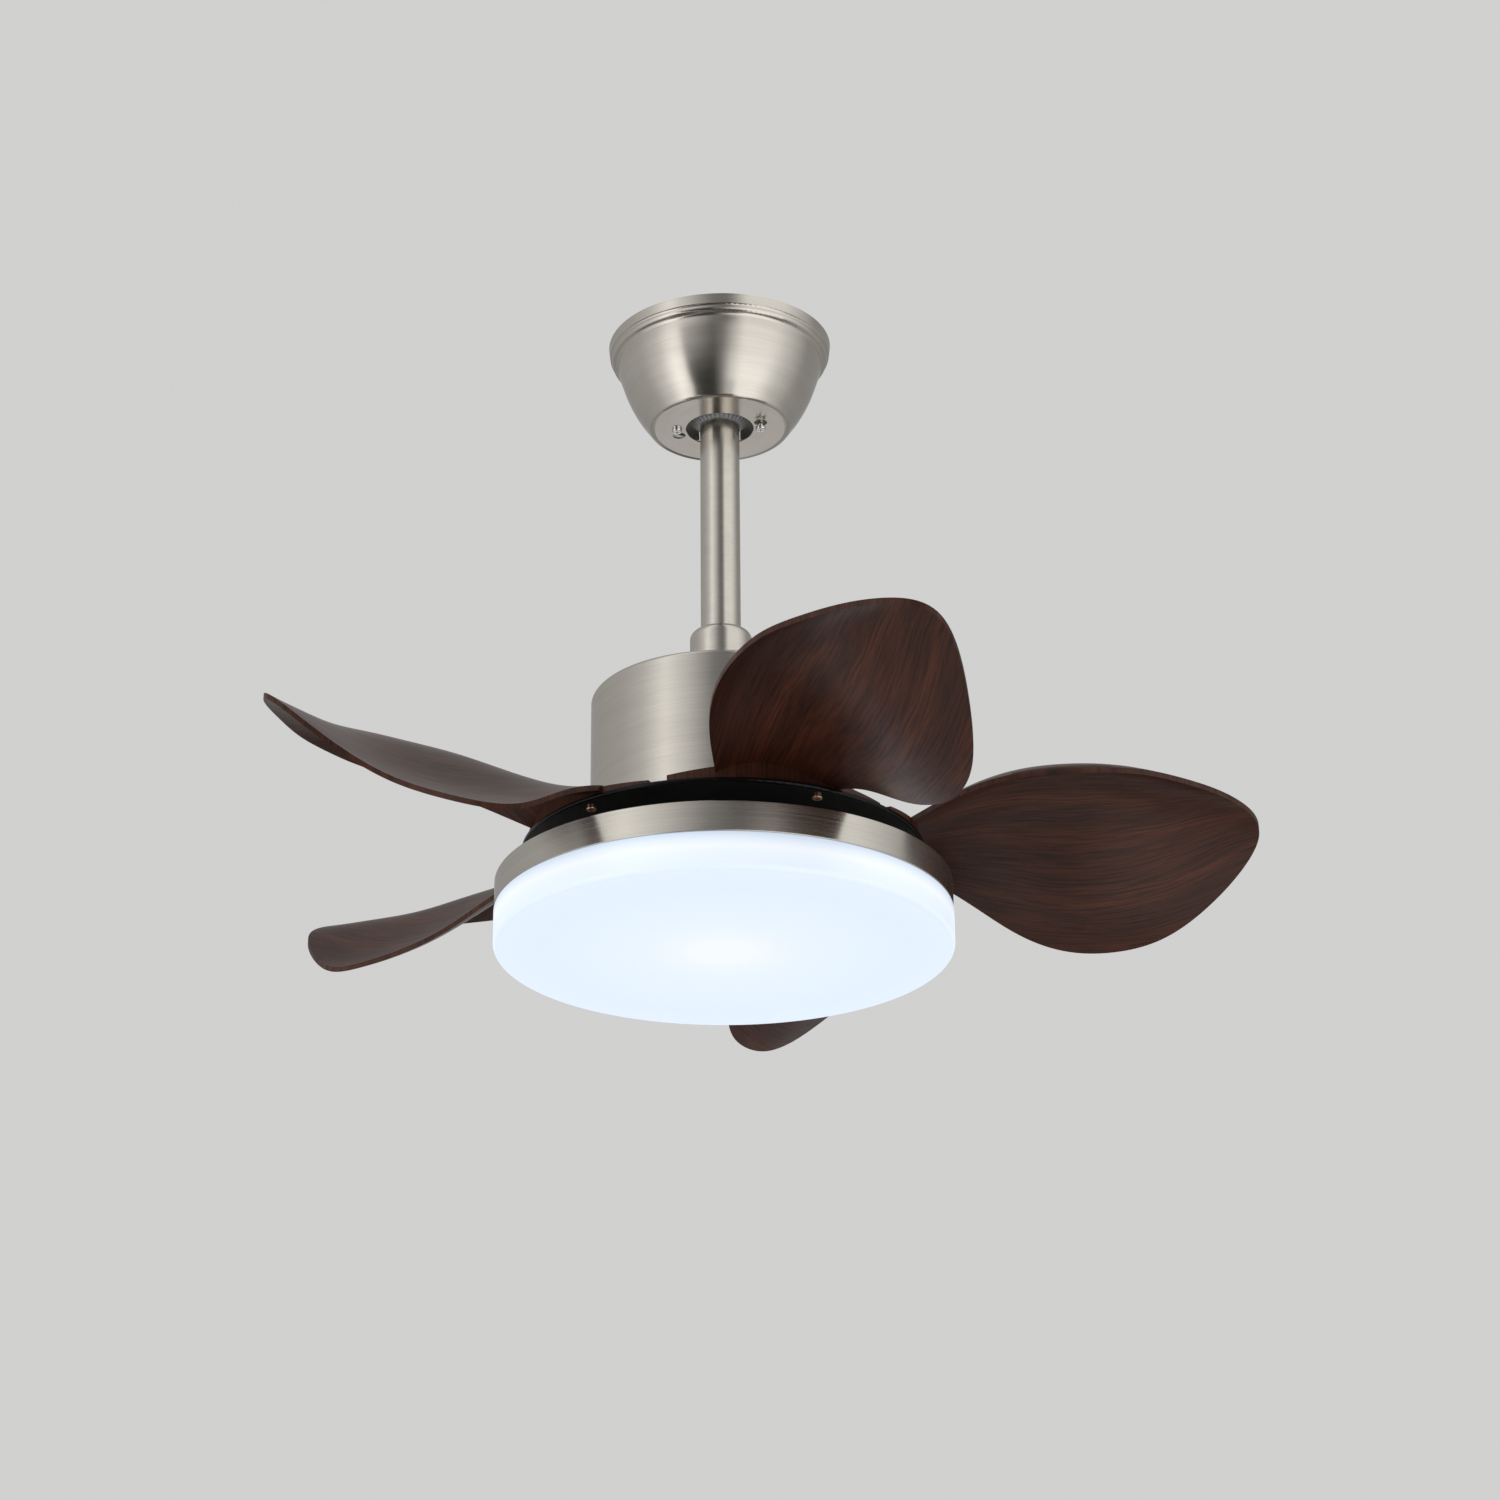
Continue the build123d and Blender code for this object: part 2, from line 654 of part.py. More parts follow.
def leaf_skin():
    """Face through the leaf's sections, wider than the leaf."""
    rows = []
    for along, front, back, crown, skew in LEAF_SECTIONS:
        row = []
        for step in range(SECTION_STEPS + 1):
            across = step / SECTION_STEPS
            side = LEAF_FRONT + (LEAF_BACK - LEAF_FRONT) * across
            height = leaf_height(front, back, crown, skew, across)
            row.append((along, side, BLADE_LEVEL + height))
        rows.append(row)
    return Face.make_surface_from_array_of_points(rows, tol=0.01, min_deg=3)


def blade_shoulder():
    """Raised rim of the flange that runs up into both edges of the leaf."""
    top = [(side, BLADE_LEVEL + height) for side, height in SHOULDER]
    profile = Polyline((top[-1][0], DISC_TOP), (top[0][0], DISC_TOP), *top, close=True)
    bar = extrude(Plane.YZ * make_face(profile), FLANGE_OUTER_R + 10)
    return bar & sector(ROOT_INNER_R, FLANGE_OUTER_R, FLANGE_START, FLANGE_END, DISC_TOP, BLADE_LEVEL + 20)


def blade():
    """One blade along +X: leaf, root block and sector flange."""
    root_x = ROOT_INNER_R + 2
    skin = leaf_skin()
    half = BLADE_THICKNESS / 2
    slab = extrude(Pos(0, 0, -half) * skin, BLADE_THICKNESS, dir=(0, 0, 1))
    edge = Spline(*LEAF_EDGE)
    root = Polyline(edge @ 1, (root_x, 42.0), (root_x, -40.0), edge @ 0)
    outline = Pos(0, 0, BLADE_LEVEL - 90) * extrude(make_face([edge, root]), 160)
    leaf = slab & outline
    under = extrude(skin, -70, dir=(0, 0, 1))
    seat = sector(ROOT_INNER_R, FLANGE_OUTER_R, -17.8, 19.2, DISC_TOP, BLADE_LEVEL + 30)
    flange = sector(FLANGE_INNER_R, FLANGE_OUTER_R, FLANGE_START, FLANGE_END, DISC_TOP, BLADE_LEVEL)
    shape = leaf + (seat & under) + flange + blade_shoulder()
    shape -= tube(DISC_R + 0.4, FLANGE_INNER_R - 20, DISC_BOTTOM - 20, DISC_TOP)
    for radius, angle in BLADE_SCREWS:
        shape -= at(radius, angle, DISC_TOP) * Cylinder(2 + FIT, 2.6, align=UP)
    return shape


def blade_screws():
    """Three screws under the disc for each blade."""
    screws = []
    for radius, angle in BLADE_SCREWS:
        screw = at(radius, angle, DISC_BOTTOM - FIT) * cross_screw(2.0, 3.8, 2.4, 5.4)
        screws += around(screw, BLADES, FIRST_BLADE_ANGLE)
    return group(screws)


# ---------------------------------------------------------------- light
def light_neck():
    """Spacer on the shaft that carries the light pan."""
    neck = tube(14, SHAFT_R + FIT, NECK_FLANGE_LOW, -455.0)
    neck += tube(30, SHAFT_R + FIT, NECK_FLANGE_LOW, NECK_FLANGE_LOW + 2)
    for hole in around(at(22, 0, NECK_FLANGE_LOW) * Cylinder(2 + FIT, 2, align=UP), 3):
        neck -= hole
    return neck


def neck_lock_nut():
    """Hexagon nut under the pan, at the shaft's lower end."""
    nut = extrude(RegularPolygon(14, 6), 5) - Cylinder(SHAFT_R + FIT, 5, align=UP)
    return Pos(0, 0, PAN_LOW - 5 - FIT) * nut


def light_pan():
    """Pressed pan that closes the light from above."""
    pan = tube(PAN_R, SHAFT_R + FIT, PAN_LOW, PAN_HIGH)
    for hole in around(at(22, 0, PAN_LOW) * Cylinder(2 + FIT, PAN_HIGH - PAN_LOW, align=UP), 3):
        pan -= hole
    return pan


def pan_screws():
    """Three screws from the pan into the neck's flange."""
    screw = at(22, 0, PAN_LOW - FIT) * cross_screw(2.0, 3.8, 2.4, 3.2)
    return group(around(screw, 3))


def trim_ring():
    """Nickel band round the light, with a lip over the pan."""
    inner = RING_R - RING_WALL
    lip_inner = 166.0
    return turned_outline(
        (
            (RING_R - RING_LIP, RING_BOTTOM),
            (RING_R, RING_BOTTOM + RING_LIP),
            (RING_R, RING_TOP - 0.6),
            (RING_R - 0.6, RING_TOP),
            (lip_inner, RING_TOP),
            (lip_inner, RING_TOP - RING_WALL),
            (inner, RING_TOP - RING_WALL),
            (inner, RING_BOTTOM),
        )
    )


def bayonet_clips():
    """Three hooks under the pan for the diffuser's lugs."""
    low = CLIP_FOOT_TOP - 1.5
    clips = []
    for angle in LUG_ANGLES:
        leg = sector(160.0, 161.5, angle - 5, angle + 5, low, PAN_LOW - FIT)
        foot = sector(160.0, 169.4, angle - 5, angle + 5, low, CLIP_FOOT_TOP)
        clips.append(leg + foot)
    return group(clips)


def diffuser():
    """Opal drum with a spigot and three lugs that hang on the clips."""
    inner_r = DIFFUSER_R - DIFFUSER_WALL
    floor = DIFFUSER_BOTTOM + DIFFUSER_WALL
    outer = disc(DIFFUSER_R, DIFFUSER_BOTTOM, DIFFUSER_TOP)
    outer = fillet(outer.edges().group_by(Axis.Z)[0], DIFFUSER_EDGE_R)
    hollow = disc(inner_r, floor, DIFFUSER_TOP)
    hollow = fillet(hollow.edges().group_by(Axis.Z)[0], DIFFUSER_EDGE_R - DIFFUSER_WALL)
    spigot_inner = SPIGOT_R - DIFFUSER_WALL
    drum = outer - hollow
    drum += tube(DIFFUSER_R, spigot_inner, DIFFUSER_TOP - 2, DIFFUSER_TOP)
    drum += tube(SPIGOT_R, spigot_inner, DIFFUSER_TOP - 2, SPIGOT_TOP)
    lug_low = CLIP_FOOT_TOP + 0.3
    for angle in LUG_ANGLES:
        drum += sector(164.0, spigot_inner + 0.5, angle - 5, angle + 5, lug_low, SPIGOT_TOP)
    return drum


def led_board():
    """Aluminium-backed LED board under the pan."""
    return tube(150, 78, LED_BOARD_LOW, PAN_LOW - FIT)


def led_chips():
    """Rings of LED packages under the board."""
    chip = Pos(0, 0, LED_BOARD_LOW - 1.2 - FIT) * Box(5, 5, 1.2, align=UP)
    chips = []
    for radius, count in ((92, 12), (115, 18), (138, 24)):
        chips += around(Pos(radius, 0, 0) * chip, count)
    return group(chips)


def led_driver():
    """Driver box beside the shaft."""
    box = Pos(50, 0, PAN_LOW - 18 - FIT) * Box(46, 50, 18, align=UP)
    return fillet(box.edges().filter_by(Axis.Z), 3)


# ---------------------------------------------------------------- all nodes
def all_nodes():
    """Every node's name and shape."""
    nodes = {
        "hanger_bracket": hanger_bracket(),
        "earth_screw": earth_screw(),
        "receiver_box": receiver_box(),
        "terminal_block": terminal_block(),
        "canopy_screw_loose": canopy_screw_loose(),
        "canopy": canopy(),
        "canopy_screw_tight": canopy_screw_tight(),
        "seat_liner": seat_liner(),
        "hanger_ball": hanger_ball(),
        "ball_pin": ball_pin(),
        "ball_grub_screw": ball_grub_screw(),
        "ball_skirt": ball_skirt(),
        "downrod": downrod(),
        "motor_yoke": motor_yoke(),
        "yoke_grub_screws": yoke_grub_screws(),
        "clevis_pin": clevis_pin(),
        "cotter_pin": cotter_pin(),
        "coupling_cover": coupling_cover(),
        "motor_housing": motor_housing(),
        "motor_mount_plate": motor_mount_plate(),
        "housing_screws": housing_screws(),
        "hollow_shaft": hollow_shaft(),
        "control_board": control_board(),
        "control_parts": control_parts(),
        "stator_core": stator_core(),
        "stator_coils": stator_coils(),
        "lead_bundle": lead_bundle(),
        "rotor_upper_cover": rotor_upper_cover(),
        "rotor_lower_cover": rotor_lower_cover(),
        "rotor_bolts": rotor_bolts(),
        "magnet_ring": magnet_ring(),
        "carrier_disc": carrier_disc(),
        "blade_screws": blade_screws(),
        "light_neck": light_neck(),
        "neck_lock_nut": neck_lock_nut(),
        "light_pan": light_pan(),
        "pan_screws": pan_screws(),
        "trim_ring": trim_ring(),
        "bayonet_clips": bayonet_clips(),
        "diffuser": diffuser(),
        "led_board": led_board(),
        "led_chips": led_chips(),
        "led_driver": led_driver(),
    }
    for place, top in BEARING_TOPS.items():
        nodes[f"{place}_bearing_inner"] = bearing_inner(top)
        nodes[f"{place}_bearing_outer"] = bearing_outer(top)
        nodes[f"{place}_bearing_balls"] = bearing_balls(top)
    for number, shape in enumerate(around(blade(), BLADES, FIRST_BLADE_ANGLE), start=1):
        nodes[f"blade_{number}"] = shape
    return nodes


os.makedirs(PARTS, exist_ok=True)
for name, shape in all_nodes().items():
    export_step(shape, f"{PARTS}/{name}.step")
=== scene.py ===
"""A five-blade ceiling fan with a light, shown in a pale studio.

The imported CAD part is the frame. The blades are rebuilt here with rounded
edges; every other piece keeps its CAD mesh and gets a procedural material.
"""

import json
import math

import bmesh
import bpy
import numpy as np
from mathutils import Matrix, Vector


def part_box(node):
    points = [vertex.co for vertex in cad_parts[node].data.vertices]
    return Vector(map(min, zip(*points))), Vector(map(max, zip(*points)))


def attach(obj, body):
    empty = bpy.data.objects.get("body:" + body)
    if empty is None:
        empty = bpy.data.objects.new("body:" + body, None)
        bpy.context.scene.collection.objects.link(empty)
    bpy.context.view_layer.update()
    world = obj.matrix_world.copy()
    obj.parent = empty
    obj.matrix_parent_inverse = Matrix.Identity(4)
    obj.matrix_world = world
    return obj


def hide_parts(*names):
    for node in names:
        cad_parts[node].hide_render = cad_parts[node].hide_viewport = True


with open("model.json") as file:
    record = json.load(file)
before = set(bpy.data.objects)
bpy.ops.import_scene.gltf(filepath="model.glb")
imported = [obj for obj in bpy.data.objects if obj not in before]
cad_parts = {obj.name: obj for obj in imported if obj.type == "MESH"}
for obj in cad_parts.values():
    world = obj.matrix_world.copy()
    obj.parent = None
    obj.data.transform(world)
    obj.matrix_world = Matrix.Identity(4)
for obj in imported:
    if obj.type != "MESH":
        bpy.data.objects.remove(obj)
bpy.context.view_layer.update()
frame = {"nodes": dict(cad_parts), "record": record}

MM = 0.001

# ------------------------------------------------------------------ blades
BLADES = 5
FIRST_BLADE_ANGLE = -1.7
BLADE_LEVEL = -443.0
LEAF_HALF = 2.2
LEAF_EDGE = (
    (142.0, -46.0),
    (184.0, -63.0),
    (237.0, -72.0),
    (301.0, -67.0),
    (373.5, -25.5),
    (409.0, 33.0),
    (372.0, 65.0),
    (321.0, 84.5),
    (267.5, 88.0),
    (203.0, 69.0),
    (141.0, 50.0),
)
LEAF_TIP = 5
LEAF_FRONT = -80.0
LEAF_BACK = 100.0
LEAF_SECTIONS = (
    (140.0, -23.5, 4.5, 23.0, 2.40),
    (180.0, 3.5, -26.5, 31.5, 2.20),
    (220.0, 18.0, -48.5, 37.5, 2.45),
    (260.0, 22.5, -57.0, 38.0, 2.75),
    (300.0, 18.5, -58.0, 40.5, 2.70),
    (340.0, 7.5, -54.5, 45.5, 2.10),
    (380.0, -16.5, -46.5, 59.0, 1.65),
    (420.0, -43.5, -53.5, 77.0, 1.15),
)
ROOT_START = 129.0
ROOT_RADII = (127.0, 150.6)
SHOULDER_PLACES = (-90.0, -46.0, -20.0, 20.0, 49.5, 90.0)
SHOULDER_HEIGHTS = (0.9, 7.0, 8.0, 7.0, 3.6, 0.0)
FLANGE_RADII = (95.0, 150.6)
FLANGE_SPAN = (-31.8, 34.8)
SEAT_SPAN = (-17.8, 19.2)
DISC_TOP = -446.5
EDGE_ROUND = 0.9
# How far each blade's veneer is turned from the blade's own line, in degrees.
GRAIN_TURNS = (3.0, -3.0, 2.0, 0.0, -24.0)
GRAIN_SHIFT = 0.37


class Spline:
    """Natural cubic spline through values at increasing places."""

    def __init__(self, places, values):
        self.x = np.asarray(places, float)
        self.y = np.asarray(values, float).reshape(len(places), -1)
        gaps = np.diff(self.x)
        count = len(self.x)
        system = np.eye(count)
        right = np.zeros_like(self.y)
        for i in range(1, count - 1):
            system[i, i - 1 : i + 2] = gaps[i - 1], 2 * (gaps[i - 1] + gaps[i]), gaps[i]
            slopes = (self.y[i + 1] - self.y[i]) / gaps[i] - (self.y[i] - self.y[i - 1]) / gaps[i - 1]
            right[i] = 6 * slopes
        self.bend = np.linalg.solve(system, right)

    def __call__(self, place):
        i = int(np.clip(np.searchsorted(self.x, place) - 1, 0, len(self.x) - 2))
        gap = self.x[i + 1] - self.x[i]
        a = (self.x[i + 1] - place) / gap
        b = 1 - a
        bend = ((a**3 - a) * self.bend[i] + (b**3 - b) * self.bend[i + 1]) * gap**2 / 6
        return a * self.y[i] + b * self.y[i + 1] + bend


def section_height(front, back, crown, skew, across):
    """Height of the leaf's middle skin over the blade level at one section."""
    peak = skew**skew / (1 + skew) ** (1 + skew)
    return front + (back - front) * across + crown * across * (1 - across) ** skew / peak


LEAF_LENGTHS = [section[0] for section in LEAF_SECTIONS]


def leaf_height(along, side):
    """Height of the leaf's middle skin at a place seen from above."""
    across = (side - LEAF_FRONT) / (LEAF_BACK - LEAF_FRONT)
    heights = [section_height(*section[1:], across) for section in LEAF_SECTIONS]
    return BLADE_LEVEL + float(Spline(LEAF_LENGTHS, heights)(along)[0])


def leaf_outline():
    """The leaf's edge as a spline over its own chord length, and its tip's place."""
    points = np.array(LEAF_EDGE)
    steps = np.linalg.norm(np.diff(points, axis=0), axis=1)
    places = np.concatenate([[0.0], np.cumsum(steps)])
    return Spline(places, points), places[LEAF_TIP], places[-1]


def leaf_rows(rows=72):
    """Pairs of leading and trailing edge points from the root to the tip."""
    outline, tip, end = leaf_outline()
    pairs = [((ROOT_START, -40.0), (ROOT_START, 42.0))]
    for i in range(rows):
        part = 1 - (1 - i / rows) ** 1.5
        pairs.append((tuple(outline(tip * part)), tuple(outline(end + (tip - end) * part))))
    return pairs, tuple(outline(tip))


def add_slab(mesh, grid, tip=None):
    """A closed slab from a grid of (along, side) points with a top and a bottom height."""
    layers = []
    for height in (1, 0):
        rows = []
        for row in grid:
            rows.append([mesh.verts.new((p[0], p[1], p[2][height])) for p in row])
        layers.append(rows)
    top, bottom = layers
    count = len(grid[0])
    for i in range(len(grid) - 1):
        for j in range(count - 1):
            mesh.faces.new((top[i][j], top[i + 1][j], top[i + 1][j + 1], top[i][j + 1]))
            mesh.faces.new((bottom[i][j], bottom[i][j + 1], bottom[i + 1][j + 1], bottom[i + 1][j]))
    for i in range(len(grid) - 1):
        mesh.faces.new((top[i][0], bottom[i][0], bottom[i + 1][0], top[i + 1][0]))
        mesh.faces.new((top[i][-1], top[i + 1][-1], bottom[i + 1][-1], bottom[i][-1]))
    for j in range(count - 1):
        mesh.faces.new((top[0][j], top[0][j + 1], bottom[0][j + 1], bottom[0][j]))
    if tip is None:
        for j in range(count - 1):
            mesh.faces.new((top[-1][j], bottom[-1][j], bottom[-1][j + 1], top[-1][j + 1]))
        return
    peak = [mesh.verts.new((tip[0], tip[1], tip[2][height])) for height in (1, 0)]
    for j in range(count - 1):
        mesh.faces.new((top[-1][j], peak[0], top[-1][j + 1]))
        mesh.faces.new((bottom[-1][j], bottom[-1][j + 1], peak[1]))
    mesh.faces.new((top[-1][0], bottom[-1][0], peak[1], peak[0]))
    mesh.faces.new((top[-1][-1], peak[0], peak[1], bottom[-1][-1]))


def leaf_grid(columns=40):
    """Grid of the leaf with its lower and upper heights."""
    pairs, tip = leaf_rows()
    grid = []
    for lead, trail in pairs:
        row = []
        for j in range(columns + 1):
            share = j / columns
            along = lead[0] + (trail[0] - lead[0]) * share
            side = lead[1] + (trail[1] - lead[1]) * share
            middle = leaf_height(along, side)
            row.append((along, side, (middle - LEAF_HALF, middle + LEAF_HALF)))
        grid.append(row)
    middle = leaf_height(*tip)
    return grid, (tip[0], tip[1], (middle - LEAF_HALF, middle + LEAF_HALF))


def sector_grid(radii, span, top, rows, columns):
    """Grid over part of a ring, from the disc's top up to a height function."""
    grid = []
    for i in range(rows + 1):
        radius = radii[0] + (radii[1] - radii[0]) * i / rows
        row = []
        for j in range(columns + 1):
            angle = math.radians(span[0] + (span[1] - span[0]) * j / columns)
            along = radius * math.cos(angle)
            side = radius * math.sin(angle)
            row.append((along, side, (DISC_TOP, top(along, side))))
        grid.append(row)
    return grid


def shoulder_height(along, side):
    """Height of the raised rim that runs up into both edges of the leaf."""
    return BLADE_LEVEL + float(np.interp(side, SHOULDER_PLACES, SHOULDER_HEIGHTS))


def blade_mesh():
    """Leaf, root block, flange and shoulder of one blade along +X, in metres."""
    mesh = bmesh.new()
    grid, tip = leaf_grid()
    add_slab(mesh, grid, tip)
    add_slab(mesh, sector_grid(FLANGE_RADII, FLANGE_SPAN, lambda along, side: BLADE_LEVEL, 4, 44))
    add_slab(mesh, sector_grid(ROOT_RADII, SEAT_SPAN, leaf_height, 10, 20))
    add_slab(mesh, sector_grid(ROOT_RADII, FLANGE_SPAN, shoulder_height, 6, 66))
    bmesh.ops.scale(mesh, vec=Vector((MM, MM, MM)), verts=mesh.verts)
    bmesh.ops.recalc_face_normals(mesh, faces=mesh.faces)
    grain = mesh.loops.layers.uv.new("grain")
    for face in mesh.faces:
        face.smooth = True
        for loop in face.loops:
            loop[grain].uv = (loop.vert.co.x, loop.vert.co.y)
    data = bpy.data.meshes.new("blade_shape")
    mesh.to_mesh(data)
    mesh.free()
    return data


def turn_grain(data, number):
    """Lay one blade's veneer at its own angle and from its own part of the sheet."""
    layer = data.uv_layers["grain"].uv
    flat = np.empty(2 * len(layer), dtype=np.float32)
    layer.foreach_get("vector", flat)
    along, side = flat[0::2].copy(), flat[1::2].copy()
    angle = math.radians(GRAIN_TURNS[number])
    flat[0::2] = along * math.cos(angle) - side * math.sin(angle)
    flat[1::2] = along * math.sin(angle) + side * math.cos(angle) + GRAIN_SHIFT * number
    layer.foreach_set("vector", flat)


def add_blades(material):
    """Five finished blades in place of the CAD ones."""
    data = blade_mesh()
    data.materials.append(material)
    for number in range(BLADES):
        piece = bpy.data.objects.new(f"walnut_blade_{number + 1}", data.copy())
        turn = Matrix.Rotation(math.radians(FIRST_BLADE_ANGLE + 360 * number / BLADES), 4, "Z")
        piece.data.transform(turn)
        turn_grain(piece.data, number)
        bpy.context.scene.collection.objects.link(piece)
        bevel = piece.modifiers.new("edge", "BEVEL")
        bevel.width = EDGE_ROUND * MM
        bevel.segments = 3
        bevel.limit_method = "ANGLE"
        bevel.angle_limit = math.radians(50)
        bevel.harden_normals = True
        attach(piece, "rotor")
        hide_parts(f"blade_{number + 1}")


# ------------------------------------------------------------------ materials
class Net:
    """A material's node tree, written a line at a time."""

    def __init__(self, name):
        self.material = bpy.data.materials.new(name)
        self.material.use_nodes = True
        self.tree = self.material.node_tree
        self.shader = self.tree.nodes["Principled BSDF"]

    def put(self, socket, value):
        """Link an output, or set a constant."""
        if isinstance(value, bpy.types.NodeSocket):
            self.tree.links.new(value, socket)
        else:
            socket.default_value = value

    def node(self, kind, inputs=None, **settings):
        """A new node with its settings and inputs."""
        made = self.tree.nodes.new(kind)
        for key, value in settings.items():
            setattr(made, key, value)
        for key, value in (inputs or {}).items():
            self.put(made.inputs[key], value)
        return made

    def set(self, **values):
        """Values of the principled shader, by socket name with _ for a space."""
        for key, value in values.items():
            self.put(self.shader.inputs[key.replace("_", " ")], value)

    def place(self):
        """Position in the row frame at rest."""
        return self.node("ShaderNodeTexCoord").outputs["Object"]

    def math(self, operation, first, second=0.0, third=0.0):
        made = self.node("ShaderNodeMath", {0: first, 1: second, 2: third}, operation=operation)
        return made.outputs[0]

    def split(self, vector):
        made = self.node("ShaderNodeSeparateXYZ", {0: vector})
        return made.outputs["X"], made.outputs["Y"], made.outputs["Z"]

    def join(self, x, y, z):
        return self.node("ShaderNodeCombineXYZ", {"X": x, "Y": y, "Z": z}).outputs[0]

    def noise(self, vector, scale, detail=3.0, roughness=0.5):
        inputs = {"Vector": vector, "Scale": scale, "Detail": detail, "Roughness": roughness}
        return self.node("ShaderNodeTexNoise", inputs).outputs[0]

    def ramp(self, factor, *stops):
        """Colour ramp from (place, colour) stops."""
        made = self.node("ShaderNodeValToRGB", {"Fac": factor})
        elements = made.color_ramp.elements
        while len(elements) < len(stops):
            elements.new(0.5)
        for element, (place, colour) in zip(elements, stops):
            element.position = place
            element.color = colour if len(colour) == 4 else (*colour, 1)
        return made.outputs["Color"]

    def spread(self, factor, low, high, out_low, out_high):
        """Map one range of numbers to another."""
        inputs = {0: factor, 1: low, 2: high, 3: out_low, 4: out_high}
        return self.node("ShaderNodeMapRange", inputs).outputs[0]

    def mix(self, factor, first, second, blend="MIX"):
        made = self.node("ShaderNodeMix", data_type="RGBA", blend_type=blend)
        for index, value in ((0, factor), (6, first), (7, second)):
            if not isinstance(value, bpy.types.NodeSocket) and index > 0:
                value = (*value[:3], 1)
            self.put(made.inputs[index], value)
        return made.outputs[2]

    def bump(self, height, strength, distance):
        inputs = {"Height": height, "Strength": strength, "Distance": distance}
        self.set(Normal=self.node("ShaderNodeBump", inputs).outputs[0])


NICKEL = (0.60, 0.565, 0.515)
OPAL_STRENGTH = 0.815
WIRE_TURNS = 7000.0


def grey(value):
    return (value, value, value)


def brushed_metal(name, colour, rough=0.3, lines=0.6, stretch=0.75):
    """Metal brushed round the Z axis: fine rings, each a little lighter or darker."""
    net = Net(name)
    x, y, z = net.split(net.place())
    radius = net.math("SQRT", net.math("ADD", net.math("MULTIPLY", x, x), net.math("MULTIPLY", y, y)))
    climb = net.math("ADD", z, radius)
    around = (net.math("DIVIDE", x, radius), net.math("DIVIDE", y, radius))
    fine = net.noise(net.join(*around, net.math("MULTIPLY", climb, 900.0)), 1.6, 4.0, 0.6)
    broad = net.noise(net.join(*around, net.math("MULTIPLY", climb, 60.0)), 1.3, 2.0)
    streak = net.spread(fine, 0.32, 0.68, 1 - 0.16 * lines, 1 + 0.10 * lines)
    cloud = net.spread(broad, 0.3, 0.7, 0.965, 1.03)
    tone = net.math("MULTIPLY", streak, cloud)
    base = net.mix(1.0, colour, net.join(tone, tone, tone), "MULTIPLY")
    tangent = net.node("ShaderNodeTangent", direction_type="RADIAL", axis="Z").outputs[0]
    roughness = net.spread(fine, 0.3, 0.7, rough - 0.05 * lines, rough + 0.07 * lines)
    net.set(Base_Color=base, Metallic=1.0, Roughness=roughness, Anisotropic=stretch)
    net.set(Anisotropic_Rotation=0.25, Tangent=tangent)
    net.bump(fine, 0.10 * lines, 0.0002)
    return net.material


def plain_metal(name, colour, rough=0.3, metallic=1.0, mottle=0.06, scale=180.0):
    """Plated or cast metal with a fine mottle."""
    net = Net(name)
    grain = net.noise(net.place(), scale, 4.0, 0.6)
    dark = tuple(c * (1 - mottle) for c in colour)
    light = tuple(min(c * (1 + mottle), 1.0) for c in colour)
    net.set(Base_Color=net.ramp(grain, (0.35, dark), (0.65, light)), Metallic=metallic)
    net.set(Roughness=net.spread(grain, 0.3, 0.7, rough - 0.04, rough + 0.05))
    net.bump(grain, 0.06, 0.0003)
    return net.material


def plastic(name, colour, rough=0.45, mottle=0.05, scale=260.0):
    """Moulded plastic with a fine surface texture."""
    net = Net(name)
    grain = net.noise(net.place(), scale, 3.0, 0.55)
    dark = tuple(c * (1 - mottle) for c in colour)
    light = tuple(min(c * (1 + mottle), 1.0) for c in colour)
    net.set(Base_Color=net.ramp(grain, (0.35, dark), (0.65, light)))
    net.set(Roughness=net.spread(grain, 0.3, 0.7, rough - 0.05, rough + 0.05))
    net.bump(grain, 0.05, 0.0002)
    return net.material


def gloss_black(name):
    """Black gloss paint with a faint orange peel."""
    net = Net(name)
    peel = net.noise(net.place(), 120.0, 2.0)
    dust = net.noise(net.place(), 900.0, 2.0)
    net.set(Base_Color=net.ramp(dust, (0.55, grey(0.0015)), (0.80, grey(0.004))))
    net.set(Roughness=net.spread(peel, 0.3, 0.7, 0.14, 0.22))
    net.set(Specular_IOR_Level=0.18)
    net.bump(peel, 0.04, 0.0004)
    return net.material


